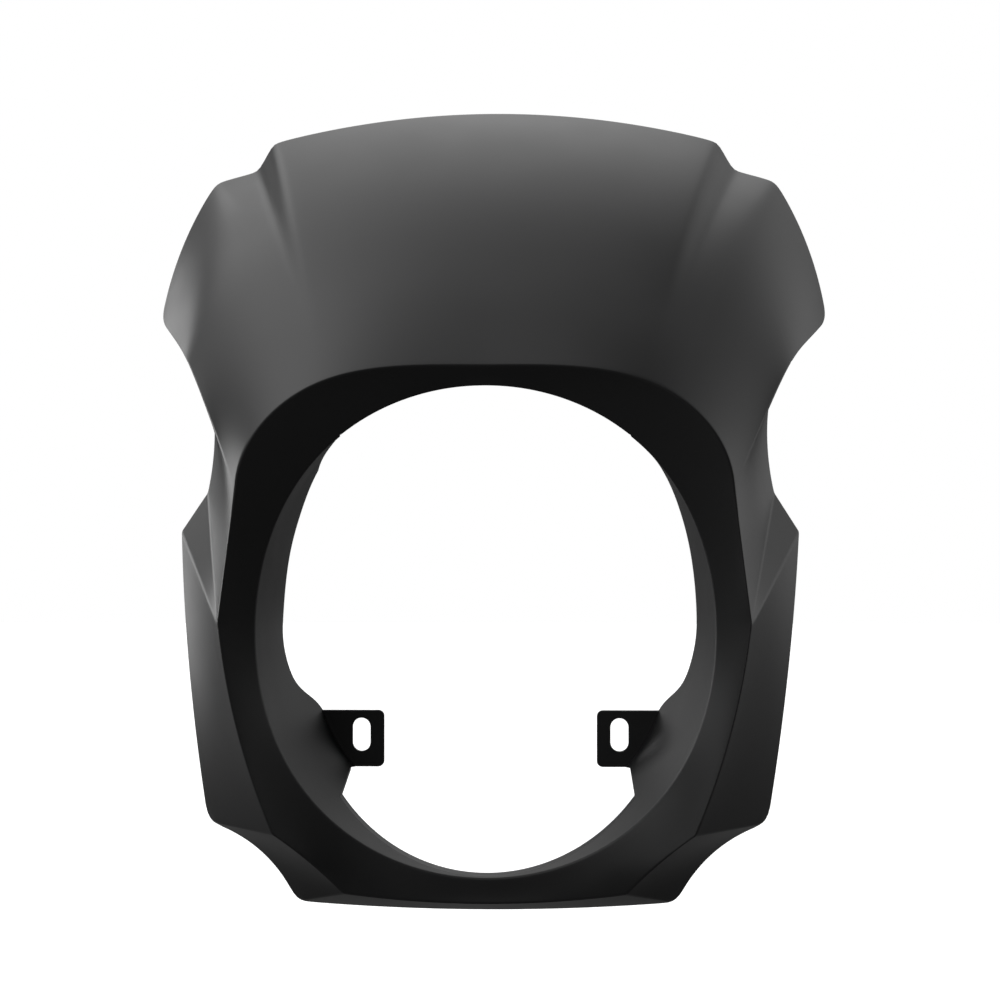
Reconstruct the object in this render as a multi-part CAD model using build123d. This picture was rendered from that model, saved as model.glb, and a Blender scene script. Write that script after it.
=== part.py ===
from build123d import *
import math
import os
import numpy as np

# Headlight cowl, one moulded shell, in millimetres.
# +Z is up, the lamp looks along -Y, and the shell is the same on both sides of X = 0.
# The origin is the centre of the round headlight opening, in the plane of its edge.

# Headlight opening and wall
opening_height = 184.0
opening_width = 172.2
wall = 3.0
opening_radius = opening_height / 2
opening_squeeze = (opening_height - opening_width) / 2
opening_squeeze_power = 4

# Front ridge, the fold between the outer skin and the recess round the lamp.
# Each place is an angle up from +X, the margin outside the opening, and the reach ahead of it.
crown_place = (90.0, 7.5, 8.0)
brow_place_1 = (70.5, 12.8, 8.5)
brow_place_2 = (55.5, 20.0, 9.0)
brow_place_3 = (41.8, 21.5, 9.5)
brow_corner_place = (30.2, 15.3, 10.0)
cheek_place = (2.0, 7.2, 12.0)
cheek_bow_place = (-16.6, 5.6, 13.5)
jaw_place = (-43.7, 15.9, 15.0)
jaw_dip_place = (-51.0, 15.1, 9.5)
chin_place = (-61.7, 18.8, 3.0)
chin_middle_place = (-90.0, 9.4, 1.0)
cheek_flat = 2.0

# Rear rim. Each place is the half width outside the opening, the depth behind it, and the height.
shield_top = (0.0, 113.0, 206.6)
shoulder = (21.5, 109.0, 178.5)
ear_bow = 3.0
ear_tip = (40.7, 84.5, 121.0)
ear_edge_high = (32.7, 63.5, 112.4)
ear_edge_middle = (24.1, 37.0, 101.9)
ear_edge_low = (14.2, 17.0, 82.8)
side_rim_high = (17.0, 52.0, 90.0)
side_rim_low = (15.8, 54.0, 72.0)
notch = (18.5, 55.0, 52.5)
flare = (27.8, 47.0, 37.3)
flank_rim = (22.7, 30.5, -17.0)
hip = (14.6, 22.0, -73.0)
hip_dip = (-5.8, 19.0, -84.0)
foot = (-20.0, 13.5, -102.3)
sole_height = -105.2
sole_depth = 13.0

# Shield shape
shield_crown = 13.0
ear_split = 0.57
shoulder_place = 0.66
shoulder_softness = 0.012
shoulder_fade = 0.35
bulge_rise = 12.0
bulge_arch = 2.0
bulge_lean = 3.0
bulge_corner = 0.526
bulge_foot = 0.561
bulge_softness = 0.009
bulge_start = 0.34
bulge_start_softness = 0.12
ear_blend_power = 6
# Places across the right half of the shield where one sheet ends and the next begins
shield_breaks = [0.46, 0.545, 0.63, 0.73, 1.0]
wing_break = shield_breaks[-2]

# Recess wall between the ridge and the opening; the ridge's corners fade out towards the opening
recess_fade = 4
recess_waves = 7

# Wing plates behind the opening, from their top corner down to the tabs.
# Each place on their free edge is an angle, the margin inside the opening, and the depth.
wing_top_depth = 46.0
wing_corner = (40.7, 0.0, 55.0)
wing_high = (31.1, 2.4, 57.0)
wing_upper = (19.4, 4.6, 52.0)
wing_side = (3.5, 6.0, 47.5)
wing_scoop_high = (-5.4, 7.0, 39.5)
wing_scoop_low = (-14.6, 9.2, 40.0)
# From the tabs on down the plates slope inward as a cone and reach back as far as the tabs
wing_floor_start = -26.3
wing_floor_slope = 15.0
# They are cleared away between and below the tabs, seen from the front: half width and height
wing_ankle = (54.4, -54.6)
wing_heel = (56.1, -63.6)
clear_foot = 91.4
clear_margin = 10.0

# Slotted fixing tabs
tab_face_depth = 55.0
tab_inner = 41.5
tab_top = -32.6
tab_bottom = -54.6
tab_corner = 2.3
slot_spacing = 100.6
slot_height = -42.1
slot_width = 7.0
slot_length = 13.0

# Rounded corners of the free edges
hip_round = 4.0
foot_round = 3.0
ear_round = 4.5
wing_round = 3.0

# Number of spans in the smooth sheets, round the opening and across the skin
count_round = 10
count_across = 6
# How finely the ridge is looked at for its soft copy, and how often a search halves its range
ridge_samples = 20
even_samples = 90
search_halvings = 40
# Points nearer than this are the same, and faces closer to parallel than this share one step
same_place = 0.01
same_direction = 0.05


def vector(x, y, z):
    return np.array([x, y, z], dtype=float)


def mirrored(point):
    return point * vector(-1, 1, 1)


def ridge_point(place):
    angle, margin, reach = place
    radius = opening_radius + margin
    a = math.radians(angle)
    return vector(radius * math.cos(a), -reach, radius * math.sin(a))


def rim_point(place):
    outside, depth, height = place
    return vector(opening_radius + outside, depth, height)


def fold(t, softness):
    """A ramp that starts at t = 0, rounded over about its softness."""
    return (t + math.sqrt(t * t + softness * softness)) / 2


def line(start, end):
    return lambda t: start + (end - start) * t


def smooth_curve(points):
    edge = Edge.make_spline([Vector(*p) for p in points])
    return lambda t: vector(*(edge @ t))


def sheet_between(front, rear, left, right):
    """A surface with four given edges: s runs along front and rear, t from front to rear."""

    def surface(s, t):
        across = (1 - t) * front(s) + t * rear(s)
        along = (1 - s) * left(t) + s * right(t)
        corners = (1 - t) * ((1 - s) * front(0) + s * front(1)) + t * ((1 - s) * rear(0) + s * rear(1))
        return across + along - corners

    return surface


# The ridge and rim curves

crown = ridge_point(crown_place)
brow_corner = ridge_point(brow_corner_place)
cheek = ridge_point(cheek_place)
jaw = ridge_point(jaw_place)
chin = ridge_point(chin_place)
brow_half = [ridge_point(p) for p in (brow_place_1, brow_place_2, brow_place_3, brow_corner_place)]
brow_line = smooth_curve([mirrored(p) for p in reversed(brow_half)] + [crown] + brow_half)

cheek_upper = cheek + (brow_corner - cheek) / np.linalg.norm(brow_corner - cheek) * cheek_flat / 2
cheek_lower = cheek + (jaw - cheek) / np.linalg.norm(jaw - cheek) * cheek_flat / 2
cheek_line = smooth_curve([cheek_lower, ridge_point(cheek_bow_place), jaw])
jaw_line = smooth_curve([jaw, ridge_point(jaw_dip_place), chin])
chin_line = smooth_curve([mirrored(chin), ridge_point(chin_middle_place), chin])
flank_line = smooth_curve([rim_point(flare), rim_point(flank_rim), rim_point(hip)])
hip_line = smooth_curve([rim_point(hip), rim_point(hip_dip), rim_point(foot)])
sole_line = smooth_curve([mirrored(rim_point(foot)), vector(0, sole_depth, sole_height), rim_point(foot)])


def shield_rim(u, softness):
    """The top edge without its bulge, from ear tip to ear tip as u runs from -1 to 1."""
    corner, tip, top = rim_point(shoulder), rim_point(ear_tip), vector(*shield_top)
    top = top - vector(0, -bulge_lean, bulge_rise)
    k = shoulder_place
    right, left = fold(u - k, softness), fold(-u - k, softness)
    end = fold(1 - k, shoulder_softness)
    x_turn = (tip[0] - corner[0] / k) / end
    x = corner[0] * u / k + x_turn * (right - left)
    beyond = max(abs(u) - k, 0) * (1 - abs(u)) * 4 / (1 - k) ** 2
    x += ear_bow * beyond * math.copysign(1, u)
    arch = (corner - top) / (k * k)
    turn = (tip - top - arch) / end
    bent = top + arch * u * u + turn * (right + left)
    return vector(x, bent[1], bent[2])


def bulge(u):
    """1 on the raised middle of the shield, 0 outside the step beside it."""
    width = bulge_foot - bulge_corner
    a = abs(u)
    return (fold(bulge_foot - a, bulge_softness) - fold(bulge_corner - a, bulge_softness)) / width


ear_edge = smooth_curve([brow_corner, rim_point(ear_edge_low), rim_point(ear_edge_middle),
                         rim_point(ear_edge_high), rim_point(ear_tip)])


def shield_raw(u, v):
    softness = shoulder_softness + shoulder_fade * (1 - v) ** 2
    point = (1 - v) * brow_line((u + 1) / 2) + v * shield_rim(u, softness)
    chord = vector(*shield_top) - crown
    outward = vector(0, -chord[2], chord[1]) / np.linalg.norm(chord)
    rounding = 4 * v * (1 - v) * (1 - u * u) * shield_crown
    start, end = fold(-bulge_start, bulge_start_softness), fold(1 - bulge_start, bulge_start_softness)
    swell = (fold(v - bulge_start, bulge_start_softness) - (1 - v) * start) / end
    rise = bulge_rise - bulge_arch * (u / bulge_corner) ** 2
    return point + outward * rounding + bulge(u) * swell * vector(0, -bulge_lean, rise)


def shield(u, v):
    """The outer face of the shield, from the brow at v = 0 to the rim at v = 1."""
    right = ear_edge(v) - shield_raw(1, v)
    side = vector(right[0] * math.copysign(1, u), right[1], right[2])
    return shield_raw(u, v) + side * u ** ear_blend_power


def opening_edge(angle):
    """Radius of the opening, which comes in at the sides."""
    return opening_radius - opening_squeeze * math.cos(angle) ** opening_squeeze_power


def opening_point(angle):
    return opening_edge(angle) * vector(math.cos(angle), 0, math.sin(angle))


def waves(angle):
    """Smooth waves round the lamp, the same on both sides."""
    return [math.sin(k * angle) if k % 2 else math.cos(k * angle) for k in range(recess_waves)]


def soft_ridge_weights():
    """The ridge's radius and reach as a few smooth waves, which leaves its corners out."""
    lines = [lambda t: brow_line((t + 1) / 2), line(brow_corner, cheek_upper),
             line(cheek_upper, cheek_lower), cheek_line, jaw_line, lambda t: chin_line((t + 1) / 2)]
    points = [curve(t) for curve in lines for t in np.linspace(0, 1, ridge_samples)]
    places = np.array([(angle_of(p), math.hypot(p[0], p[2]), p[1]) for p in points])
    even = np.linspace(math.pi / 2, -math.pi / 2, even_samples)
    order = np.argsort(places[:, 0])
    radius_and_y = np.array([np.interp(even, places[order, 0], places[order, k]) for k in (1, 2)]).T
    return np.linalg.lstsq(np.array([waves(a) for a in even]), radius_and_y, rcond=None)[0]


def angle_of(point):
    """Angle round the lamp, up from +X."""
    return math.atan2(point[2], point[0])


ridge_weights = soft_ridge_weights()


def funnel(front, s, t):
    """The recess wall, from the ridge to the edge of the opening."""
    ridge = front(s)
    angle = angle_of(ridge)
    radius, y = np.array(waves(angle)) @ ridge_weights
    soft = vector(radius * math.cos(angle), y, radius * math.sin(angle))
    return (1 - t) * soft + t * opening_point(angle) + (1 - t) ** recess_fade * (ridge - soft)


def behind_opening(angle, margin, depth):
    """A point behind the opening, its margin nearer to the lamp's axis."""
    return opening_point(angle) - margin * vector(math.cos(angle), 0, math.sin(angle)) + vector(0, depth, 0)


def wing_point(place):
    angle, margin, depth = place
    return behind_opening(math.radians(angle), margin, depth)


def floor_point(angle):
    depth = tab_face_depth + wall / 2
    return behind_opening(angle, depth * math.tan(math.radians(wing_floor_slope)), depth)


wing_top = behind_opening(angle_of(brow_line((wing_break + 1) / 2)), 0, wing_top_depth)
wing_edge = smooth_curve([wing_top] + [wing_point(place) for place in (
    wing_corner, wing_high, wing_upper, wing_side, wing_scoop_high, wing_scoop_low)] + [
    floor_point(angle) for angle in np.linspace(math.radians(wing_floor_start), angle_of(jaw), 3)])


# The skin as four-sided sheets, each kept as its grid of points with the rows running front to rear


rows_across, columns_round = round(count_across), round(count_round)


def stations(degree):
    """Places from 0 to 1, closer together towards the ends."""
    return [(1 - math.cos(math.pi * i / degree)) / 2 for i in range(degree + 1)]


def grid(surface):
    return np.array([[surface(s, t) for s in stations(columns_round)] for t in stations(rows_across)])


def both_sides(surface):
    right = grid(surface)
    return [right, right * vector(-1, 1, 1)]


def place_at(curve, angle):
    """How far along a curve that runs clockwise round the lamp it passes the angle."""
    low, high = 0.0, 1.0
    for _ in range(search_halvings):
        middle = (low + high) / 2
        low, high = (middle, high) if angle_of(curve(middle)) > angle else (low, middle)
    return (low + high) / 2


def brow(start, end):
    """The part of the brow between two places across the shield."""
    return lambda s: brow_line((start + (end - start) * s + 1) / 2)


def wing_sheet(front, rear):
    """The wing plate behind one piece of the opening, out to its free edge."""
    return lambda s, t: (1 - t) * opening_point(angle_of(front(s))) + t * rear(s)


def edge_between(front):
    """The free edge of the wing behind one piece of the ridge."""
    ends = line(*[place_at(wing_edge, angle_of(front(s))) for s in (0, 1)])
    return lambda s: wing_edge(ends(s))


def shield_sheets():
    outer, recess = [], []
    edges = [-u for u in reversed(shield_breaks)] + shield_breaks
    for start, end in zip(edges, edges[1:]):
        across, front = line(start, end), brow(start, end)
        outer.append(grid(lambda s, t: shield(across(s), ear_split * t)))
        outer.append(grid(lambda s, t: shield(across(s), ear_split + (1 - ear_split) * t)))
        recess.append(grid(lambda s, t: funnel(front, s, t)))
        if start >= wing_break:
            recess += both_sides(wing_sheet(front, edge_between(front)))
    return outer, recess


def side_sheets():
    notch_point, flare_point = rim_point(notch), rim_point(flare)
    hip_point, foot_point = rim_point(hip), rim_point(foot)
    side_rim = smooth_curve([shield(1, ear_split), rim_point(side_rim_high), rim_point(side_rim_low), notch_point])
    upper, flat = line(brow_corner, cheek_upper), line(cheek_upper, cheek_lower)
    # The creases between the panels, from the ridge to the free edge
    ear_crease = lambda t: shield(1, ear_split * t)
    notch_crease, flare_crease = line(cheek_upper, notch_point), line(cheek_lower, flare_point)
    hip_crease, foot_crease = line(jaw, hip_point), line(chin, foot_point)
    floor_edge = lambda s: floor_point(angle_of(jaw_line(s)))
    panels = [
        (upper, side_rim, ear_crease, notch_crease, edge_between(upper)),
        (flat, line(notch_point, flare_point), notch_crease, flare_crease, edge_between(flat)),
        (cheek_line, flank_line, flare_crease, hip_crease, edge_between(cheek_line)),
        (jaw_line, hip_line, hip_crease, foot_crease, floor_edge),
    ]
    outer, recess = [], []
    for ridge, rim, first, last, wing_rear in panels:
        outer += both_sides(sheet_between(ridge, rim, first, last))
        recess += both_sides(lambda s, t: funnel(ridge, s, t))
        recess += both_sides(wing_sheet(ridge, wing_rear))
    return outer, recess


def chin_sheets():
    crease = line(chin, rim_point(foot))
    under = sheet_between(chin_line, sole_line, lambda t: mirrored(crease(t)), crease)
    floor = wing_sheet(chin_line, lambda s: floor_point(angle_of(chin_line(s))))
    return [grid(under)], [grid(lambda s, t: funnel(chin_line, s, t)), grid(floor)]


# Thickness: the inner skin lies one wall inside every sheet, mitred where sheets meet


def blend_matrix(degree):
    """Weights of a Bezier curve's control points at the stations."""
    return np.array([[math.comb(degree, j) * t ** j * (1 - t) ** (degree - j) for j in range(degree + 1)]
                     for t in stations(degree)])


def slope_matrix(degree):
    """Turns values at the stations into slopes there."""
    lower = [[math.comb(degree - 1, j) * t ** j * (1 - t) ** (degree - 1 - j) for j in range(degree)]
             for t in stations(degree)]
    steps = np.array([[degree * ((row[j - 1] if j else 0) - (row[j] if j < degree else 0))
                       for j in range(degree + 1)] for row in lower])
    return steps @ np.linalg.inv(blend_matrix(degree))


def normals(points, side):
    """Unit normals; side is 1 for a sheet that faces away from the lamp's axis, -1 for one that faces it."""
    along = np.einsum("ij,tjc->tic", slope_matrix(columns_round), points)
    across = np.einsum("ij,jsc->isc", slope_matrix(rows_across), points)
    directions = np.cross(along, across)
    directions /= np.linalg.norm(directions, axis=2)[..., None]
    outward = points * vector(1, 0, 1)
    return directions * np.sign(side * np.sum(directions * outward))


def mitre(directions):
    """The step that lies one wall behind every one of these faces."""
    return np.linalg.pinv(directions, rcond=same_direction) @ np.full(len(directions), -wall)


def border(rows, columns):
    """Places along the four edges of a grid: front, rear, left and right."""
    last_row, last = rows - 1, columns - 1
    return [[(0, j) for j in range(columns)], [(last_row, j) for j in range(columns)],
            [(i, 0) for i in range(rows)], [(i, last) for i in range(rows)]]


def edge_slides(points, directions, meeting):
    """How far each edge point of the inner skin slides along it to meet its neighbours."""
    slides = np.zeros_like(points)
    free_edges = []
    for edge in border(*points.shape[:2]):
        middle = points[edge[len(edge) // 2]]
        if len(meeting(middle, middle)) == 1:
            free_edges.append(edge)
        shared = [mitre(meeting(points[place], middle)) + wall * directions[place] for place in edge]
        corners = [mitre(meeting(points[place], points[place])) + wall * directions[place]
                   for place in (edge[0], edge[-1])]
        for place, slide, t in zip(edge, shared, stations(len(edge) - 1)):
            slides[place] = slide + (1 - t) * (corners[0] - shared[0]) + t * (corners[1] - shared[-1])
    return slides, free_edges


def inner_points(points, directions, slides):
    rows, columns = stations(rows_across), stations(columns_round)
    inner = points - wall * directions
    for i, t in enumerate(rows):
        for j, s in enumerate(columns):
            across = (1 - t) * slides[0, j] + t * slides[-1, j]
            along = (1 - s) * slides[i, 0] + s * slides[i, -1]
            corners = (1 - t) * ((1 - s) * slides[0, 0] + s * slides[0, -1])
            corners = corners + t * ((1 - s) * slides[-1, 0] + s * slides[-1, -1])
            inner[i, j] += across + along - corners
    return inner


def face_through(points):
    """The smooth face through a grid of points. Each edge depends only on that edge's points."""
    rows, columns = len(points) - 1, len(points[0]) - 1
    poles = np.einsum("ij,jsc->isc", np.linalg.inv(blend_matrix(rows)), points)
    poles = np.einsum("ij,tjc->tic", np.linalg.inv(blend_matrix(columns)), poles)
    return Face.make_bezier_surface([[Vector(*pole) for pole in row] for row in poles])


def shell_faces():
    families = [shield_sheets(), side_sheets(), chin_sheets()]
    sheets = []
    for outer, recess in families:
        sheets += [(points, normals(points, 1)) for points in outer]
        sheets += [(points, normals(points, -1)) for points in recess]
    all_points = np.concatenate([points.reshape(-1, 3) for points, _ in sheets])
    all_directions = np.concatenate([directions.reshape(-1, 3) for _, directions in sheets])
    owners = np.repeat(np.arange(len(sheets)), sheets[0][0].size // 3)

    def near(point):
        return np.linalg.norm(all_points - point, axis=1) < same_place

    def meeting(point, other):
        """The faces' directions at a point, of the sheets that also reach the other point."""
        return all_directions[near(point) & np.isin(owners, owners[near(other)])]

    faces = []
    for points, directions in sheets:
        slides, free_edges = edge_slides(points, directions, meeting)
        inner = inner_points(points, directions, slides)
        faces += [face_through(points), face_through(inner)]
        for edge in free_edges:
            faces.append(face_through(np.array([[points[p] for p in edge], [inner[p] for p in edge]])))
    return faces


# Trimming of the wing plates, and the tabs


def clear_outline():
    """What is cleared away between and below the tabs, seen from the front."""
    ankle, heel = wing_ankle, wing_heel
    right = [Edge.make_line((0, ankle[1]), ankle), Edge.make_line(ankle, heel)]
    left = [edge.mirror(Plane.YZ) for edge in right]
    bottom = Edge.make_three_point_arc(heel, (0, -clear_foot), (-heel[0], heel[1]))
    return Face(Wire(left + right + [bottom]))


def standing(flat, front, rear):
    """A flat outline drawn as seen from the front, given depth from front to rear."""
    return extrude(Plane.XZ.offset(-front) * flat, rear - front, dir=(0, 1, 0))


def tab():
    """A flat ear with a slot, standing inward from the wing plate."""
    slot_angle = math.atan2(slot_height, tab_inner + slot_width)
    plate_end = floor_point(slot_angle)
    reach = math.hypot(plate_end[0], plate_end[2]) + wall / 2
    height = tab_top - tab_bottom
    plate = Pos(tab_inner + reach / 2, tab_bottom + height / 2) * Rectangle(reach, height)
    plate = fillet(plate.vertices().group_by(Axis.X)[0], tab_corner) & Circle(reach)
    slot = Pos(slot_spacing / 2, slot_height) * SlotOverall(slot_length, slot_width, rotation=90)
    return standing(plate - slot, tab_face_depth, tab_face_depth + wall)


def corner_edge(solid, point):
    """The short edge through the wall at a corner of the free edge."""
    return min(solid.edges(), key=lambda edge: (edge @ 0.5 - Vector(*point)).length)


def rounded(solid):
    corners = [(rim_point(hip), hip_round), (rim_point(foot), foot_round), (rim_point(ear_tip), ear_round),
               (wing_top, wing_round)]
    for corner, radius in corners:
        solid = solid.fillet(radius, [corner_edge(solid, point) for point in (corner, mirrored(corner))])
    return solid


skin = Shell(shell_faces())
clear_way = standing(clear_outline(), 0, tab_face_depth + clear_margin)
right_tab = tab()
cowl = rounded(Solid(skin)) - clear_way + right_tab + mirror(right_tab, Plane.YZ)
print("one solid:", len(cowl.solids()) == 1, "closed skin:", skin.is_manifold)
print("volume in cubic centimetres:", round(cowl.volume / 1000, 1))

os.makedirs("parts", exist_ok=True)
export_step(cowl, "parts/headlight_cowl.step")
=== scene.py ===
# %% [markdown]
# # A moulded headlight cowl
#
# The object is one shell of black plastic that stands round a motorbike's headlight: an upright
# shield above, a folded ridge round the lamp, and two plates behind with slotted fixing tabs. This
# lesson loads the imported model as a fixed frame, which gives its place and its size. It then builds
# the seen moulding as one mesh, gives it two finishes of plastic, and lights it softly on white.

import math

import bmesh
import bpy
import numpy as np
from mathutils import Matrix, Vector


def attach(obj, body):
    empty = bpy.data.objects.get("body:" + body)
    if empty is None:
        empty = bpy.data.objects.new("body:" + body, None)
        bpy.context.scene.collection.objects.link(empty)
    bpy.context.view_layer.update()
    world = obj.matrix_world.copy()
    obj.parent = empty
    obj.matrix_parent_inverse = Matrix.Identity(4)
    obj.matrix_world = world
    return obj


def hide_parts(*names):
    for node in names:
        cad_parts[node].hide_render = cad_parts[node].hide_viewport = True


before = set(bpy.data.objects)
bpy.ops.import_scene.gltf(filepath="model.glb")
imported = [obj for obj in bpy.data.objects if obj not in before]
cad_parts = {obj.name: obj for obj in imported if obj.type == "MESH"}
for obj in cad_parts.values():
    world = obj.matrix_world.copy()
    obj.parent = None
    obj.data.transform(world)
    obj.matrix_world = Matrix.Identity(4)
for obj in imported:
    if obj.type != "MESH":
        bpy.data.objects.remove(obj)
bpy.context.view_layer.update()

# %% [markdown]
# ## The key places
#
# A moulded cowl like this has two leading lines. The front one is the ridge, where the outer skin
# folds back into the recess round the lamp. The rear one is the free edge. Everything else is a
# surface stretched between them. They could be traced point by point, but a few places on each are
# enough for a smooth curve, and they can be read and changed like sizes on a drawing. The places are
# in millimetres, with the origin at the centre of the headlight opening.

# %% Opening, ridge and free edge
mm = 0.001
opening_radius = 92.0
opening_squeeze = 5.9
wall = 3.0

# Each place on the ridge is an angle up from +X, the margin outside the opening, and the reach ahead
crown_place = (90.0, 7.5, 8.0)
brow_places = [(70.5, 12.8, 8.5), (55.5, 20.0, 9.0), (41.8, 21.5, 9.5), (30.2, 15.3, 10.0)]
cheek_place = (2.0, 7.2, 12.0)
cheek_bow_place = (-16.6, 5.6, 13.5)
jaw_place = (-43.7, 15.9, 15.0)
jaw_dip_place = (-51.0, 15.1, 9.5)
chin_place = (-61.7, 18.8, 3.0)
chin_middle_place = (-90.0, 9.4, 1.0)
cheek_flat = 2.0

# Each place on the free edge is the half width outside the opening, the depth behind it, and the height
shield_top = (0.0, 113.0, 206.6)
shoulder = (21.5, 109.0, 178.5)
ear_bow = 3.0
ear_edge_places = [(14.2, 17.0, 82.8), (24.1, 37.0, 101.9), (32.7, 63.5, 112.4), (40.7, 84.5, 121.0)]
side_rim_places = [(17.0, 52.0, 90.0), (15.8, 54.0, 72.0), (18.5, 55.0, 52.5)]
flare = (27.8, 47.0, 37.3)
flank_rim = (22.7, 30.5, -17.0)
hip = (14.6, 22.0, -73.0)
hip_dip = (-5.8, 19.0, -84.0)
foot = (-20.0, 13.5, -102.3)
sole_middle = (0.0, 13.0, -105.2)

# Each place on the wing's free edge is an angle, the margin inside the opening, and the depth
wing_top_angle = 53.5
wing_top_depth = 46.0
wing_places = [(40.7, 0.0, 55.0), (31.1, 2.4, 57.0), (19.4, 4.6, 52.0), (3.5, 6.0, 47.5),
               (-5.4, 7.0, 39.5), (-14.6, 9.2, 40.0)]
wing_floor_angle = -26.3
wing_floor_slope = 15.0
tab_depth = 55.0
print("opening in mm:", 2 * (opening_radius - opening_squeeze), "wide and", 2 * opening_radius, "high")

# %% [markdown]
# ## Smooth curves
#
# A spline through the places gives the lines their flow. Blender has curve objects for this, but
# here the points feed formulas for the surfaces, so the spline is worked out in numpy. It is
# measured off by its length, which keeps the rows of mesh evenly spaced along it.

# %% Points and straight lines
def vector(x, y, z):
    return np.array([x, y, z], dtype=float)


def mirrored(point):
    return point * vector(-1, 1, 1)


def line(start, end):
    return lambda t: start + (end - start) * t


def toward(start, end, distance):
    return start + (end - start) / np.linalg.norm(end - start) * distance


# %% Curves through points
curve_samples = 3000


def end_slope(knots, points):
    """Slope at the first point of the cubic through the first four points."""
    count = min(4, len(knots))
    return np.polyfit(knots[:count] - knots[0], points[:count], count - 1)[-2]


def smooth_curve(points):
    """A curve through the points, where t from 0 to 1 is the share of its length."""
    points = np.array(points)
    steps = np.linalg.norm(np.diff(points, axis=0), axis=1)
    knots = np.concatenate([[0], np.cumsum(steps)])
    last = len(steps)
    rows, targets = np.eye(last + 1), np.zeros_like(points)
    targets[0] = end_slope(knots, points)
    targets[-1] = -end_slope(knots[-1] - knots[::-1], points[::-1])
    for i in range(1, last):
        before, after = steps[i - 1], steps[i]
        rows[i, i - 1:i + 2] = after, 2 * (before + after), before
        slope_before = (points[i] - points[i - 1]) / before
        slope_after = (points[i + 1] - points[i]) / after
        targets[i] = 3 * (after * slope_before + before * slope_after)
    slopes = np.linalg.solve(rows, targets)
    fine = np.linspace(0, knots[-1], curve_samples)
    span = np.clip(np.searchsorted(knots, fine, side="right") - 1, 0, last - 1)
    width = steps[span][:, None]
    x = (fine - knots[span])[:, None] / width
    dense = (1 + 2 * x) * (1 - x) ** 2 * points[span] + x * (1 - x) ** 2 * width * slopes[span]
    dense += x * x * (3 - 2 * x) * points[span + 1] + x * x * (x - 1) * width * slopes[span + 1]
    lengths = np.concatenate([[0], np.cumsum(np.linalg.norm(np.diff(dense, axis=0), axis=1))])
    return lambda t: np.array([np.interp(t, lengths / lengths[-1], dense[:, axis]) for axis in range(3)])


# %% Ridge and rim lines
def ridge_point(place):
    angle, margin, reach = place
    a = math.radians(angle)
    return vector((opening_radius + margin) * math.cos(a), -reach, (opening_radius + margin) * math.sin(a))


def rim_point(place):
    outside, depth, height = place
    return vector(opening_radius + outside, depth, height)


brow_half = [ridge_point(place) for place in brow_places]
crown, brow_corner = ridge_point(crown_place), brow_half[-1]
brow_line = smooth_curve([mirrored(p) for p in reversed(brow_half)] + [crown] + brow_half)
cheek, jaw, chin = ridge_point(cheek_place), ridge_point(jaw_place), ridge_point(chin_place)
cheek_upper = toward(cheek, brow_corner, cheek_flat / 2)
cheek_lower = toward(cheek, jaw, cheek_flat / 2)
cheek_line = smooth_curve([cheek_lower, ridge_point(cheek_bow_place), jaw])
jaw_line = smooth_curve([jaw, ridge_point(jaw_dip_place), chin])
chin_line = smooth_curve([mirrored(chin), ridge_point(chin_middle_place), chin])

flare_point, hip_point, foot_point = rim_point(flare), rim_point(hip), rim_point(foot)
notch_point = rim_point(side_rim_places[-1])
flank_line = smooth_curve([flare_point, rim_point(flank_rim), hip_point])
hip_line = smooth_curve([hip_point, rim_point(hip_dip), foot_point])
sole_line = smooth_curve([mirrored(foot_point), vector(*sole_middle), foot_point])
ear_edge = smooth_curve([brow_corner] + [rim_point(place) for place in ear_edge_places])
print("brow from corner to corner:", np.round(brow_line(0), 1), np.round(brow_line(1), 1))

# %% [markdown]
# ## The shield
#
# Above the ridge stands the shield: a sheet that is bent across, crowned upward, and drawn out into
# two ears. Its middle stands proud by a step that fades out halfway down, as a stylist does to
# stiffen a thin moulding. A subdivision cage could give the large form, but the step needs an even
# radius along its whole length, so the shield is a formula of two numbers: u across, from -1 to 1, and
# v from the brow up to the rim.

# %% Shield surface
shield_crown = 13.0
shoulder_place = 0.66
shoulder_softness = 0.012
shoulder_fade = 0.35
bulge_rise = 12.0
bulge_arch = 2.0
bulge_lean = 3.0
bulge_corner = 0.526
bulge_foot = 0.561
bulge_softness = 0.009
bulge_start = 0.34
bulge_start_softness = 0.12
ear_blend_power = 6
ear_split = 0.57


def fold(t, softness):
    """A ramp that starts at t = 0, rounded over about its softness."""
    return (t + math.sqrt(t * t + softness * softness)) / 2


def shield_rim(u, softness):
    """The top edge without its bulge."""
    corner, tip = rim_point(shoulder), ear_edge(1)
    top = vector(*shield_top) - vector(0, -bulge_lean, bulge_rise)
    k = shoulder_place
    right, left = fold(u - k, softness), fold(-u - k, softness)
    end = fold(1 - k, shoulder_softness)
    x = corner[0] * u / k + (tip[0] - corner[0] / k) / end * (right - left)
    x += ear_bow * max(abs(u) - k, 0) * (1 - abs(u)) * 4 / (1 - k) ** 2 * math.copysign(1, u)
    arch = (corner - top) / (k * k)
    bent = top + arch * u * u + (tip - top - arch) / end * (right + left)
    return vector(x, bent[1], bent[2])


def bulge(u):
    """1 on the raised middle of the shield, 0 outside the step beside it."""
    a = abs(u)
    rise = fold(bulge_foot - a, bulge_softness) - fold(bulge_corner - a, bulge_softness)
    return rise / (bulge_foot - bulge_corner)


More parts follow.
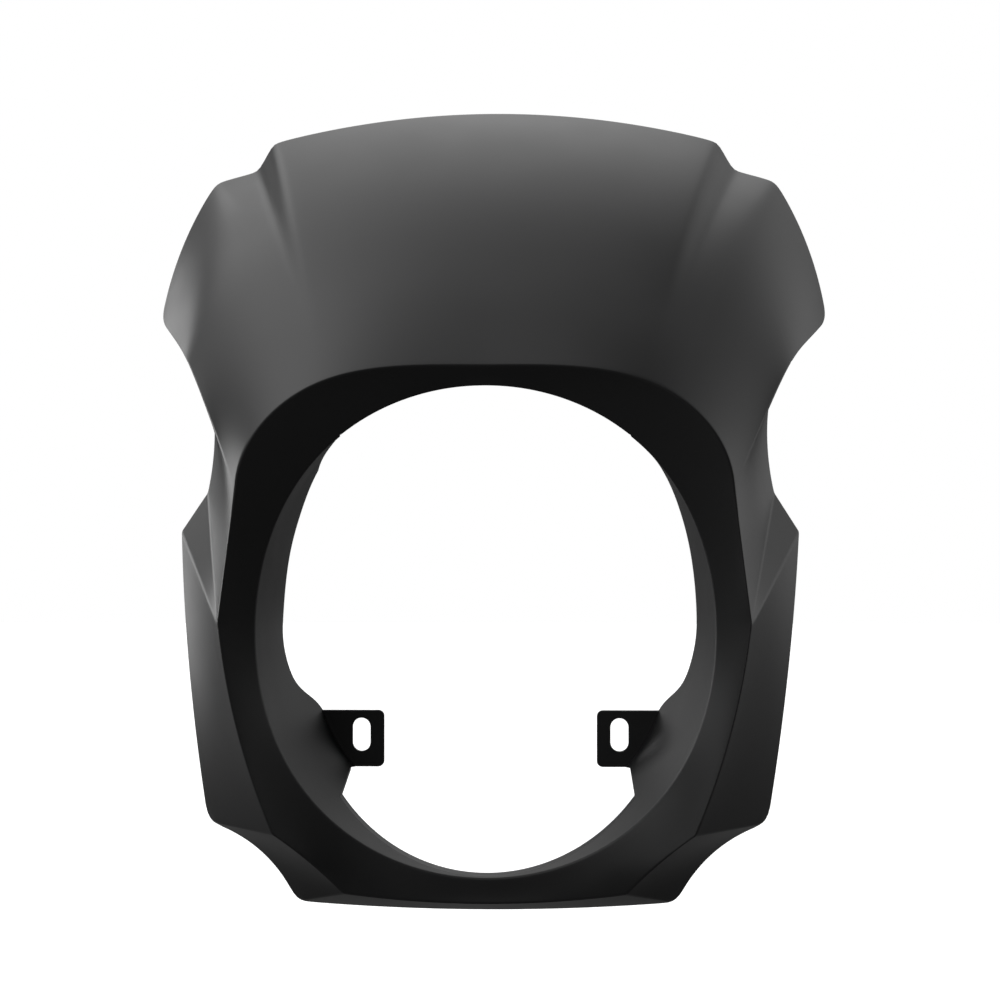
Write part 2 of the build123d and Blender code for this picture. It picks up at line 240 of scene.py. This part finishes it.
def shield_raw(u, v):
    softness = shoulder_softness + shoulder_fade * (1 - v) ** 2
    point = (1 - v) * brow_line((u + 1) / 2) + v * shield_rim(u, softness)
    chord = vector(*shield_top) - crown
    outward = vector(0, -chord[2], chord[1]) / np.linalg.norm(chord)
    start, end = fold(-bulge_start, bulge_start_softness), fold(1 - bulge_start, bulge_start_softness)
    swell = (fold(v - bulge_start, bulge_start_softness) - (1 - v) * start) / end
    rise = bulge_rise - bulge_arch * (u / bulge_corner) ** 2
    rounding = 4 * v * (1 - v) * (1 - u * u) * shield_crown
    return point + outward * rounding + bulge(u) * swell * vector(0, -bulge_lean, rise)


def shield(u, v):
    right = ear_edge(v) - shield_raw(1, v)
    outward = vector(right[0] * math.copysign(1, u), right[1], right[2])
    return shield_raw(u, v) + outward * u ** ear_blend_power


print("top of the shield:", np.round(shield(0, 1), 1), "tip of the right ear:", np.round(shield(1, 1), 1))

# %% [markdown]
# ## Recess, wings and side panels
#
# From the ridge the moulding folds back into a recess, which would hide the headlight's trim ring.
# At the opening the wall turns straight back again into two wing plates. They grip the headlight's
# body and carry the fixing tabs. The recess has the ridge's corners at the front and a plain oval at
# the opening. So its wall is blended from the ridge into a softened copy of it, a sum of a few
# waves, and on into the oval. The outside below the shield is a row of four-sided panels between
# the ridge and the free edge. Each is filled from its four edges, the classic patch of car bodies.

# %% Recess surface
recess_fade = 4
recess_waves = 7
ridge_samples = 20
wave_samples = 90


def angle_of(point):
    """Angle round the lamp, up from +X."""
    return math.atan2(point[2], point[0])


def opening_point(angle):
    radius = opening_radius - opening_squeeze * math.cos(angle) ** 4
    return radius * vector(math.cos(angle), 0, math.sin(angle))


def waves(angle):
    return [math.sin(k * angle) if k % 2 else math.cos(k * angle) for k in range(recess_waves)]


def soft_ridge():
    """Weights of the waves that follow the ridge without its corners."""
    lines = [lambda t: brow_line((t + 1) / 2), line(brow_corner, cheek_upper),
             line(cheek_upper, cheek_lower), cheek_line, jaw_line, lambda t: chin_line((1 - t) / 2 + t)]
    points = [curve(t) for curve in lines for t in np.linspace(0, 1, ridge_samples)]
    places = np.array([(angle_of(p), math.hypot(p[0], p[2]), p[1]) for p in points])
    even = np.linspace(math.pi / 2, -math.pi / 2, wave_samples)
    order = np.argsort(places[:, 0])
    wanted = np.array([np.interp(even, places[order, 0], places[order, k]) for k in (1, 2)]).T
    return np.linalg.lstsq(np.array([waves(a) for a in even]), wanted, rcond=None)[0]


soft_weights = soft_ridge()


def recess(ridge, t):
    """The recess wall behind one point of the ridge, from the ridge at t = 0 to the opening at t = 1."""
    angle = angle_of(ridge)
    radius, y = np.array(waves(angle)) @ soft_weights
    soft = vector(radius * math.cos(angle), y, radius * math.sin(angle))
    return (1 - t) * soft + t * opening_point(angle) + (1 - t) ** recess_fade * (ridge - soft)


print("recess halfway down the middle:", np.round(recess(crown, 0.5), 1))


# %% Wing surface
def behind_opening(angle, margin, depth):
    return opening_point(angle) - margin * vector(math.cos(angle), 0, math.sin(angle)) + vector(0, depth, 0)


def floor_point(angle):
    depth = tab_depth + wall / 2
    return behind_opening(angle, depth * math.tan(math.radians(wing_floor_slope)), depth)


wing_top = behind_opening(math.radians(wing_top_angle), 0, wing_top_depth)
wing_side = [behind_opening(math.radians(angle), margin, depth) for angle, margin, depth in wing_places]
wing_floor = [floor_point(angle) for angle in np.linspace(math.radians(wing_floor_angle), angle_of(jaw), 3)]
wing_edge = smooth_curve([wing_top] + wing_side + wing_floor)
edge_places = np.linspace(0, 1, curve_samples)
edge_angles = np.array([angle_of(wing_edge(t)) for t in edge_places])


def wing_rear(angle):
    """The wing's free edge at an angle."""
    if angle < angle_of(jaw):
        return floor_point(angle)
    return wing_edge(np.interp(-angle, -edge_angles, edge_places))


def wing(ridge, t):
    angle = angle_of(ridge)
    return (1 - t) * opening_point(angle) + t * wing_rear(angle)


print("deepest place on the wings:", round(max(wing_edge(t)[1] for t in edge_places), 1))

# %% Sheets of mesh
# Sheets of one panel run on smoothly, and two panels meet in a fold
sheets = []
cell = 2.2
panels = ["recess", "wing", "shield", "side", "cheek", "flank", "hip", "chin"]
matt_panels = ("recess", "wing")
satin, matt = 0, 1
length_samples = 50


def spaced(length, fewest=2):
    """Even steps along a length, near the cell size."""
    return np.linspace(0, 1, max(fewest, round(length / cell)) + 1)


def length_of(curve):
    points = np.array([curve(t) for t in np.linspace(0, 1, length_samples)])
    return np.linalg.norm(np.diff(points, axis=0), axis=1).sum()


def add_sheet(panel, surface, across, along, both_sides=True):
    """Rows of points on a surface. Across runs from ridge to rim, along runs round the lamp."""
    points = np.array([[surface(s, t) for s in along] for t in across])
    sheets.append((panel, points))
    if both_sides:
        sheets.append((panel, (points * vector(-1, 1, 1))[:, ::-1]))


def patch(front, rear, first, last):
    """The surface filled in between four edges."""
    def surface(s, t):
        across = (1 - t) * front(s) + t * rear(s)
        along = (1 - s) * first(t) + s * last(t)
        corners = (1 - t) * ((1 - s) * front(0) + s * front(1)) + t * ((1 - s) * rear(0) + s * rear(1))
        return across + along - corners
    return surface


# %% Shield, with the recess and the wing behind it
shield_columns = 230
shield_height, wing_depth = 150, 50
recess_row_count = 6
hair = 1e-9
shield_rows = spaced(shield_height)
recess_rows = np.linspace(0, 1, recess_row_count + 1)
wing_rows = spaced(wing_depth)
even_u = np.linspace(-1, 1, shield_columns + 1)
brow_angles = [angle_of(brow_line((u + 1) / 2)) for u in even_u]
wing_from = np.interp(-math.radians(wing_top_angle), -np.array(brow_angles), even_u)


def with_places(even, places):
    """Even steps, where the nearest one to each given place gives way to it."""
    room = 0.5 * (even[1] - even[0])
    kept = [value for value in even if all(abs(value - place) > room for place in places)]
    return np.sort(np.append(kept, places))


brow_u = with_places(even_u, [-wing_from, wing_from])
v_rows = with_places(shield_rows, [ear_split])
add_sheet("shield", shield, v_rows, brow_u, both_sides=False)
add_sheet("recess", lambda u, t: recess(brow_line((u + 1) / 2), t), recess_rows, brow_u, both_sides=False)
wing_u = brow_u[brow_u >= wing_from - hair]
add_sheet("wing", lambda u, t: wing(brow_line((u + 1) / 2), t), wing_rows, wing_u)
print("shield, recess and wings above the cheeks:", len(sheets), "sheets")

# %% Side panels
side_rim = smooth_curve([shield(1, ear_split)] + [rim_point(place) for place in side_rim_places])
ear_rows = v_rows[v_rows <= ear_split + hair] / ear_split

# Each panel has its edge on the ridge, on the rim, above and below, and the fewest columns it takes
skin_panels = [
    ("side", line(brow_corner, cheek_upper), side_rim,
     lambda t: shield(1, ear_split * t), line(cheek_upper, notch_point), 2),
    ("cheek", line(cheek_upper, cheek_lower), line(notch_point, flare_point),
     line(cheek_upper, notch_point), line(cheek_lower, flare_point), 1),
    ("flank", cheek_line, flank_line, line(cheek_lower, flare_point), line(jaw, hip_point), 2),
    ("hip", jaw_line, hip_line, line(jaw, hip_point), line(chin, foot_point), 2),
]
for panel, ridge, rim, first, last, fewest in skin_panels:
    along = spaced(length_of(ridge), fewest)
    add_sheet(panel, patch(ridge, rim, first, last), ear_rows, along)
    add_sheet("recess", lambda s, t: recess(ridge(s), t), recess_rows, along)
    add_sheet("wing", lambda s, t: wing(ridge(s), t), wing_rows, along)
chin_along = spaced(length_of(chin_line))
under = patch(chin_line, sole_line, line(mirrored(chin), mirrored(foot_point)), line(chin, foot_point))
add_sheet("chin", under, ear_rows, chin_along, both_sides=False)
for panel, wall_behind, rows in (("recess", recess, recess_rows), ("wing", wing, wing_rows)):
    add_sheet(panel, lambda s, t: wall_behind(chin_line(s), t), rows, chin_along, both_sides=False)
point_count = sum(points.shape[0] * points.shape[1] for _, points in sheets)
print("sheets:", len(sheets), "with", point_count, "points")

# %% One welded skin
weld_distance = 0.01


def height_off_side(face):
    """Largest for a face high up in the middle."""
    place = face.calc_center_median()
    return place.z - abs(place.x)


def skin_mesh():
    """The sheets welded along their edges, facing outward and toward the lamp."""
    mesh = bmesh.new()
    panel_of = mesh.faces.layers.int.new("panel")
    for panel, points in sheets:
        rows = [[mesh.verts.new(p * mm) for p in row] for row in points]
        for low, high in zip(rows, rows[1:]):
            for corners in zip(low, low[1:], high[1:], high):
                face = mesh.faces.new(corners)
                face[panel_of] = panels.index(panel)
                face.material_index = matt if panel in matt_panels else satin
    bmesh.ops.remove_doubles(mesh, verts=mesh.verts, dist=weld_distance * mm)
    bmesh.ops.dissolve_degenerate(mesh, edges=mesh.edges, dist=weld_distance * mm)
    bmesh.ops.recalc_face_normals(mesh, faces=mesh.faces)
    crown_face = max(mesh.faces, key=height_off_side)
    if crown_face.normal.y > 0:
        bmesh.ops.reverse_faces(mesh, faces=mesh.faces)
    return mesh


def new_object(name, mesh):
    data = bpy.data.meshes.new(name)
    mesh.to_mesh(data)
    mesh.free()
    piece = bpy.data.objects.new(name, data)
    bpy.context.scene.collection.objects.link(piece)
    return piece


# %% [markdown]
# ## From skin to moulding
#
# The skin has no thickness yet. The wall is three millimetres, behind the seen side. A Solidify
# modifier would do it, but where the skin folds back sharply, as at the ridge, its rear side would
# run through itself. So the rear side is made here: each point goes back by the wall, and what would
# pass the mitre behind a fold is held at it. Before that, the three sharp corners on each side of the
# free edge are pulled in. Then come the folds. No mould makes a knife edge, and a fold without a
# radius catches no light, so the folds between panels and the free edges are marked, and a Bevel
# modifier rounds what is marked.

# %% Rounded corners of the free edge
corner_rounds = [(hip_point, 6.0), (foot_point, 5.0), (ear_edge(1), 6.5)]


def round_corner(mesh, place, reach):
    """Pulls a corner of the free edge in along a curve that starts at its reach, on both sides."""
    for corner in (Vector(place), Vector(mirrored(place))):
        vert = min(mesh.verts, key=lambda v: (v.co - corner * mm).length)
        middle = vert.co.copy()
        rims = [edge.other_vert(vert).co - middle for edge in vert.link_edges if edge.is_boundary]
        pull = (rims[0].normalized() + rims[1].normalized()) * reach * mm / 4
        for near in mesh.verts:
            distance = (near.co - middle).length / (reach * mm)
            if distance < 1:
                near.co += pull * (1 - distance) ** 2


# %% Marks for the folds
rim_share = 0.6


def fold_edges(mesh):
    """Edges where two panels meet, and the free edges."""
    panel_of = mesh.faces.layers.int["panel"]
    folds = [e for e in mesh.edges if len({face[panel_of] for face in e.link_faces}) == 2]
    return folds, [e for e in mesh.edges if e.is_boundary]


# %% Wall behind the skin
mitre_limit = 4.0
mitre_sweeps = 8
same_plane = 0.995
flat_share = 0.08


def wall_offset(vert):
    """The step to the rear side that keeps the wall even on all faces round a point."""
    normals = []
    for face in vert.link_faces:
        if all(face.normal.dot(other) < same_plane for other in normals):
            normals.append(face.normal.copy())
    planes = np.array(normals)
    step = Vector(np.linalg.lstsq(planes, -np.full(len(planes), wall * mm), rcond=flat_share)[0])
    longest = mitre_limit * wall * mm
    return step if step.length < longest else step.normalized() * longest


def rear_points(mesh, folds):
    """Where each point lies on the rear side, held at the mitre behind each fold."""
    rear = {vert: vert.co + wall_offset(vert) for vert in mesh.verts}
    on_fold = {vert for edge in folds for vert in edge.verts}
    # Taken in the mesh's own order, which is the same on every run
    front = [vert for vert in mesh.verts if vert in on_fold]
    root = {vert: vert for vert in front}
    for _ in range(mitre_sweeps):
        reached = []
        for vert in front:
            start = root[vert]
            for edge in vert.link_edges:
                near = edge.other_vert(vert)
                along = near.co - start.co
                if near not in root and along.length > 0 and (rear[near] - rear[start]).dot(along) <= 0:
                    root[near] = start
                    rear[near] = rear[start].copy()
                    reached.append(near)
        front = reached
    return rear


def add_wall(mesh):
    """Adds the rear side and the rim between the sides, and marks the edges that get a radius."""
    round_edge = mesh.edges.layers.float.new("bevel_weight_edge")
    folds, rim = fold_edges(mesh)
    rear = rear_points(mesh, folds)
    twin = {vert: mesh.verts.new(rear[vert]) for vert in list(mesh.verts)}
    for face in list(mesh.faces):
        back = mesh.faces.new([twin[vert] for vert in reversed(face.verts)])
        back.material_index = face.material_index
    for edge in rim:
        loop = edge.link_loops[0]
        a, b = loop.vert, loop.link_loop_next.vert
        side = mesh.faces.new((b, a, twin[a], twin[b]))
        side.material_index = loop.face.material_index
        mesh.edges.get((twin[a], twin[b]))[round_edge] = rim_share
    for edge in folds:
        edge[round_edge] = 1.0
    for edge in rim:
        edge[round_edge] = rim_share
    bmesh.ops.remove_doubles(mesh, verts=list(twin.values()), dist=weld_distance * mm)
    bmesh.ops.dissolve_degenerate(mesh, edges=mesh.edges, dist=weld_distance * mm)


# %% Moulding with rounded folds
fold_radius = 0.8
fold_steps = 3


def applied(piece):
    """The piece with its modifiers made part of its mesh."""
    bpy.context.view_layer.update()
    seen = piece.evaluated_get(bpy.context.evaluated_depsgraph_get())
    data = bpy.data.meshes.new_from_object(seen)
    piece.modifiers.clear()
    piece.data = data
    return piece


def moulding():
    mesh = skin_mesh()
    for place, reach in corner_rounds:
        round_corner(mesh, place, reach)
    add_wall(mesh)
    piece = new_object("cowl_moulding", mesh)
    soft = piece.modifiers.new("folds", "BEVEL")
    soft.width = fold_radius * mm
    soft.segments = fold_steps
    soft.limit_method = "WEIGHT"
    soft.use_clamp_overlap = False
    return applied(piece)


cowl = moulding()
print("moulding:", len(cowl.data.polygons), "faces")

# %% [markdown]
# ## The gap and the fixing tabs
#
# Between and below the tabs the wing plates are cut away, so that the lamp can be lifted in. The
# tabs are flat, with an upright slot that leaves room to adjust. Both are flat outlines, which is
# what a 2-D curve is for: it fills itself, keeps a second closed line inside it as a hole, and gets
# its depth from Extrude. The upper ends of the wings taper off, which a slanted block cuts in one
# go. Boolean modifiers then take the gap and the block out and weld the tabs on.

# %% Flat outlines given depth
arc_steps = 64
plate_weld = 0.001
edge_steps = 2


def arc(centre, radius, start, end, steps=arc_steps):
    """Points round a centre, between two angles in degrees."""
    angles = np.radians(np.linspace(start, end, steps + 1))
    return [(centre[0] + radius * math.cos(a), centre[1] + radius * math.sin(a)) for a in angles]


def plate(name, outlines, front, rear, rounding=0.0):
    """A flat plate seen from the front, with any hole as a second outline."""
    flat = bpy.data.curves.new(name, "CURVE")
    flat.dimensions = "2D"
    flat.fill_mode = "BOTH"
    flat.extrude = ((rear - front) / 2 - rounding) * mm
    flat.bevel_depth = rounding * mm
    flat.bevel_resolution = edge_steps
    flat.offset = -rounding * mm
    for outline in outlines:
        spline = flat.splines.new("POLY")
        spline.points.add(len(outline) - 1)
        for point, (x, z) in zip(spline.points, outline):
            point.co = (x * mm, z * mm, 0, 1)
        spline.use_cyclic_u = True
    drawn = bpy.data.objects.new(name, flat)
    bpy.context.scene.collection.objects.link(drawn)
    bpy.context.view_layer.update()
    data = bpy.data.meshes.new_from_object(drawn.evaluated_get(bpy.context.evaluated_depsgraph_get()))
    bpy.data.objects.remove(drawn)
    mesh = bmesh.new()
    mesh.from_mesh(data)
    bmesh.ops.remove_doubles(mesh, verts=mesh.verts, dist=plate_weld * mm)
    bmesh.ops.rotate(mesh, verts=mesh.verts, matrix=Matrix.Rotation(math.pi / 2, 3, "X"))
    bmesh.ops.translate(mesh, verts=mesh.verts, vec=(0, (front + rear) / 2 * mm, 0))
    bmesh.ops.recalc_face_normals(mesh, faces=mesh.faces)
    return new_object(name, mesh)


# %% Outline of the gap
ankle, heel = (54.4, -54.6), (56.1, -63.6)
clear_foot = 91.4
clear_depth = 65.0


def gap_outline():
    """The cleared outline: straight down past ankle and heel, then round below the lamp."""
    middle = (heel[0] ** 2 + heel[1] ** 2 - clear_foot ** 2) / (2 * (clear_foot + heel[1]))
    start = math.degrees(math.atan2(heel[1] - middle, heel[0]))
    return [(-ankle[0], ankle[1]), ankle] + arc((0, middle), clear_foot + middle, start, -180 - start)


print("gap between the wing plates in mm:", 2 * ankle[0])

# %% Outlines of a tab and its slot
tab_inner, tab_top, tab_bottom, tab_corner = 41.5, -32.6, -54.6, 2.3
slot_middle = (50.3, -42.1)
slot_width, slot_length = 7.0, 13.0
tab_edge_round = 0.35
corner_steps = 8
slot_steps = 16


def tab_outlines():
    """The right tab, from its rounded inner corners out to the wing's wall, and its slot."""
    end = floor_point(math.atan2(slot_middle[1], tab_inner + slot_width))
    reach = math.hypot(end[0], end[2]) + wall / 2
    low, high = (math.degrees(math.asin(height / reach)) for height in (tab_bottom, tab_top))
    corner = tab_inner + tab_corner
    upper = arc((corner, tab_top - tab_corner), tab_corner, 90, 180, corner_steps)
    lower = arc((corner, tab_bottom + tab_corner), tab_corner, 180, 270, corner_steps)
    body = arc((0, 0), reach, low, high) + upper + lower
    x, z = slot_middle
    half = (slot_length - slot_width) / 2
    slot_round = slot_width / 2
    slot = arc((x, z + half), slot_round, 0, 180, slot_steps)
    slot += arc((x, z - half), slot_round, 180, 360, slot_steps)
    return body, slot


print("slots in mm:", slot_width, "by", slot_length, "and", 2 * slot_middle[0], "apart")

# %% Slanted upper ends of the wings
trim_start, trim_fall, trim_top = 72.6, 0.22, 80.0
trim_front, trim_rear, trim_half_width = 3.0, 60.0, 70.0


def slanted_trim():
    """A block over the wings whose underside falls toward the rear."""
    mesh = bmesh.new()
    for y in (trim_front, trim_rear):
        for z in (trim_start - trim_fall * y, trim_top):
            for x in (-trim_half_width, trim_half_width):
                mesh.verts.new(Vector((x, y, z)) * mm)
    bmesh.ops.convex_hull(mesh, input=mesh.verts)
    bmesh.ops.recalc_face_normals(mesh, faces=mesh.faces)
    return new_object("trim", mesh)


# %% Gap cut out, wings trimmed, tabs welded on
def combined(piece, tool, operation):
    change = piece.modifiers.new(tool.name, "BOOLEAN")
    change.object = tool
    change.operation = operation
    change.solver = "EXACT"
    applied(piece)
    bpy.data.objects.remove(tool)


combined(cowl, plate("gap", [gap_outline()], 0, clear_depth), "DIFFERENCE")
combined(cowl, slanted_trim(), "DIFFERENCE")
body, slot = tab_outlines()
for side in (1, -1):
    outlines = [[(side * x, z) for x, z in outline] for outline in (body, slot)]
    tab = plate("tab", outlines, tab_depth, tab_depth + wall, tab_edge_round)
    for face in tab.data.polygons:
        face.material_index = matt
    combined(cowl, tab, "UNION")
print("with gap and tabs:", len(cowl.data.polygons), "faces")

# %% Shading of the moulding
sharp_angle = math.radians(38)
flat_weight = 60


def shade(piece):
    """Smooth over the folds, sharp at trimmed edges, with the broad faces kept true."""
    piece.data.shade_smooth()
    piece.data.set_sharp_from_angle(angle=sharp_angle)
    even = piece.modifiers.new("true_faces", "WEIGHTED_NORMAL")
    even.weight = flat_weight
    even.keep_sharp = True
    applied(piece)


shade(cowl)
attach(cowl, "root")
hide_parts("headlight_cowl")
print("moulding in triangles:", sum(len(face.vertices) - 2 for face in cowl.data.polygons))

# %% [markdown]
# ## Two finishes of one plastic
#
# The whole cowl is one black plastic. Its outside came off a smooth side of the mould and has a
# satin sheen. The recess, wings and tabs came off a side with a fine grain, so they scatter light
# more, mirror less of it and look deeper black. Both are the same shader with other numbers. The
# grain is a noise bump, one or two hundredths of a millimetre high. A picture of the surface could
# do it too, but a noise has no seams and needs no unwrapping. A slow second noise varies the
# roughness and the tone a little, as handled plastic does, so broad highlights aren't dead even.


# %% Node helper
def add_node(tree, kind, **sockets):
    node = tree.nodes.new(kind)
    for name, value in sockets.items():
        node.inputs[name.replace("_", " ")].default_value = value
    return node


# %% Moulded plastic
grain_scale = 1500.0
grain_detail = 3.0
cloud_scale = 22.0
cloud_detail = 2.0
noise_low, noise_high = 0.3, 0.7
plastic_ior = 1.5


def spread(tree, source, low, high):
    """A noise turned into values between low and high."""
    node = add_node(tree, "ShaderNodeMapRange", From_Min=noise_low, From_Max=noise_high,
                    To_Min=low, To_Max=high)
    tree.links.new(source, node.inputs["Value"])
    return node.outputs["Result"]


def moulded_plastic(name, dark, light, smooth, rough, grain_height, specular):
    """Plastic between two tones and two roughnesses, with a grain whose height is in millimetres."""
    material = bpy.data.materials.new(name)
    material.use_nodes = True
    tree = material.node_tree
    shader = tree.nodes["Principled BSDF"]
    shader.inputs["IOR"].default_value = plastic_ior
    shader.inputs["Specular IOR Level"].default_value = specular
    where = add_node(tree, "ShaderNodeTexCoord")
    grain = add_node(tree, "ShaderNodeTexNoise", Scale=grain_scale, Detail=grain_detail)
    cloud = add_node(tree, "ShaderNodeTexNoise", Scale=cloud_scale, Detail=cloud_detail)
    for noise in (grain, cloud):
        tree.links.new(where.outputs["Object"], noise.inputs["Vector"])
    bump = add_node(tree, "ShaderNodeBump", Strength=1.0, Distance=grain_height * mm)
    tree.links.new(grain.outputs["Fac"], bump.inputs["Height"])
    tree.links.new(bump.outputs["Normal"], shader.inputs["Normal"])
    tree.links.new(spread(tree, cloud.outputs["Fac"], smooth, rough), shader.inputs["Roughness"])
    tone = add_node(tree, "ShaderNodeMix")
    tone.data_type = "RGBA"
    tone.inputs["A"].default_value = (*dark, 1)
    tone.inputs["B"].default_value = (*light, 1)
    tree.links.new(cloud.outputs["Fac"], tone.inputs["Factor"])
    tree.links.new(tone.outputs["Result"], shader.inputs["Base Color"])
    return material


# %% The two finishes
satin_plastic = moulded_plastic("satin_black_plastic", (0.009, 0.009, 0.0095), (0.013, 0.013, 0.0135),
                                smooth=0.31, rough=0.37, grain_height=0.012, specular=0.5)
matt_plastic = moulded_plastic("matt_black_plastic", (0.014, 0.014, 0.0143), (0.02, 0.02, 0.0204),
                               smooth=0.42, rough=0.5, grain_height=0.02, specular=0.28)
for finish in (satin_plastic, matt_plastic):
    cowl.data.materials.append(finish)
for index, finish in enumerate(cowl.data.materials):
    print(finish.name, "faces:", sum(face.material_index == index for face in cowl.data.polygons))

# %% [markdown]
# ## Floor and surroundings
#
# The cowl is shown on plain white. A floor whose colour is simply made pale would still look grey
# where little light falls on it. So it also glows, but only to the camera: a Light Path node tells
# which rays come from there. The cowl itself is never lit by that glow. What the plastic reflects
# is the world, which is dark but for five wide soft glows. The strongest stands above and behind.
# On the left they reach round to the front, on the right they are about half as strong. A picture
# of a studio could serve as the world, but glows with a name and a strength can be set one by one.

# %% Floor
floor_height = -0.25
floor_size = 14.0
floor_seen = (0.8, 0.8, 0.8)
floor_glow = 0.6
floor_reflected = (0.16, 0.16, 0.16)


def pale_floor():
    bpy.ops.mesh.primitive_plane_add(size=floor_size, location=(0, 0, floor_height))
    floor = bpy.context.object
    floor.name = "floor"
    material = bpy.data.materials.new("pale_floor")
    material.use_nodes = True
    tree = material.node_tree
    tree.nodes.clear()
    out = add_node(tree, "ShaderNodeOutputMaterial")
    diffuse = add_node(tree, "ShaderNodeBsdfDiffuse", Color=(*floor_seen, 1))
    glow = add_node(tree, "ShaderNodeEmission", Color=(1, 1, 1, 1), Strength=floor_glow)
    both = add_node(tree, "ShaderNodeAddShader")
    tree.links.new(diffuse.outputs[0], both.inputs[0])
    tree.links.new(glow.outputs[0], both.inputs[1])
    reflected = add_node(tree, "ShaderNodeBsdfDiffuse", Color=(*floor_reflected, 1))
    path = add_node(tree, "ShaderNodeLightPath")
    mix = add_node(tree, "ShaderNodeMixShader")
    tree.links.new(path.outputs["Is Camera Ray"], mix.inputs["Fac"])
    tree.links.new(reflected.outputs[0], mix.inputs[1])
    tree.links.new(both.outputs[0], mix.inputs[2])
    tree.links.new(mix.outputs[0], out.inputs["Surface"])
    floor.data.materials.append(material)


pale_floor()
print("floor:", floor_size, "metres wide,", -floor_height, "metres under the middle of the opening")

# %% Soft glows
# A glow has a name, the way to its middle, and its strength
glow_power = 8
glows = [
    ("above and behind", (0, 0.6, 0.8), 1.75),
    ("above on the left", (-0.6, 0, 0.8), 1.4),
    ("high in front on the left", (-0.5, -0.5, 0.7), 1.6),
    ("high on the right", (0.85, 0.2, 0.5), 0.7),
    ("behind on the right", (0.75, 0.65, 0.1), 0.6),
]


def calculated(tree, operation, first, second):
    """A Math node of a socket and either another socket or a number."""
    node = add_node(tree, "ShaderNodeMath")
    node.operation = operation
    tree.links.new(first, node.inputs[0])
    if isinstance(second, (int, float)):
        node.inputs[1].default_value = second
    else:
        tree.links.new(second, node.inputs[1])
    return node.outputs[0]


def glow_level(tree, direction, aim, strength):
    """Brightness of one soft glow: full at its aim, fading away round it."""
    facing = add_node(tree, "ShaderNodeVectorMath")
    facing.operation = "DOT_PRODUCT"
    facing.inputs[1].default_value = Vector(aim).normalized()
    tree.links.new(direction, facing.inputs[0])
    ahead = calculated(tree, "MAXIMUM", facing.outputs["Value"], 0)
    return calculated(tree, "MULTIPLY", calculated(tree, "POWER", ahead, glow_power), strength)


# %% Surroundings
def surroundings():
    world = bpy.data.worlds.new("studio")
    bpy.context.scene.world = world
    world.use_nodes = True
    tree = world.node_tree
    tree.nodes.clear()
    out = add_node(tree, "ShaderNodeOutputWorld")
    direction = add_node(tree, "ShaderNodeTexCoord").outputs["Generated"]
    levels = [glow_level(tree, direction, aim, strength) for _, aim, strength in glows]
    total = levels[0]
    for level in levels[1:]:
        total = calculated(tree, "ADD", total, level)
    studio = add_node(tree, "ShaderNodeBackground", Color=(1, 1, 1, 1))
    tree.links.new(total, studio.inputs["Strength"])
    white = add_node(tree, "ShaderNodeBackground", Color=(1, 1, 1, 1), Strength=1)
    path = add_node(tree, "ShaderNodeLightPath")
    seen = calculated(tree, "MAXIMUM", path.outputs["Is Camera Ray"], path.outputs["Is Transmission Ray"])
    mix = add_node(tree, "ShaderNodeMixShader")
    tree.links.new(seen, mix.inputs["Fac"])
    tree.links.new(studio.outputs[0], mix.inputs[1])
    tree.links.new(white.outputs[0], mix.inputs[2])
    tree.links.new(mix.outputs[0], out.inputs["Surface"])


surroundings()
print("glows in the surroundings:", [(name, strength) for name, _, strength in glows])

# %% [markdown]
# ## Lamps
#
# Black plastic shows little of its own colour. What shapes it is the reflection of what stands
# round it. Two softboxes behind the cowl add to the soft glows. The low one brightens the panels on
# the left, which the camera sees nearly edge on. The high one catches the top of the left ear and
# the edge of the step beside it. Round lamps leave no straight edge in the highlights.


# %% Softboxes
lamp_aim = (0, 0, 0.08)


def softbox(name, place, size, power):
    data = bpy.data.lights.new(name, "AREA")
    data.shape = "DISK"
    data.size = size
    data.energy = power
    lamp = bpy.data.objects.new(name, data)
    lamp.location = place
    lamp.rotation_euler = (Vector(lamp_aim) - Vector(place)).to_track_quat("-Z", "Y").to_euler()
    bpy.context.scene.collection.objects.link(lamp)


softbox("low left", (-1.25, 1.0, 0.3), size=0.9, power=4.5)
softbox("high left", (-0.9, 0.8, 1.2), size=0.7, power=1.2)

# %% [markdown]
# ## Camera
#
# The photograph looks straight at the cowl from the front, and a little from the right: the plates
# behind the opening show wider on its left side. A long lens at 1.3 metres keeps the lines straight.

# %% Camera
camera_turn = math.radians(1.9)
camera_place = (0.0480, -1.2781, 0.0494)
sensor_width = 36.0
focal_length = 123.2


def camera():
    data = bpy.data.cameras.new("camera")
    data.sensor_width = sensor_width
    data.lens = focal_length
    rig = bpy.data.objects.new("camera", data)
    rig.location = camera_place
    rig.rotation_euler = (math.pi / 2, 0, camera_turn)
    bpy.context.scene.collection.objects.link(rig)
    bpy.context.scene.camera = rig


camera()
bpy.context.scene.view_settings.view_transform = "Standard"
print("camera:", camera_place, "with a lens of", focal_length, "mm")
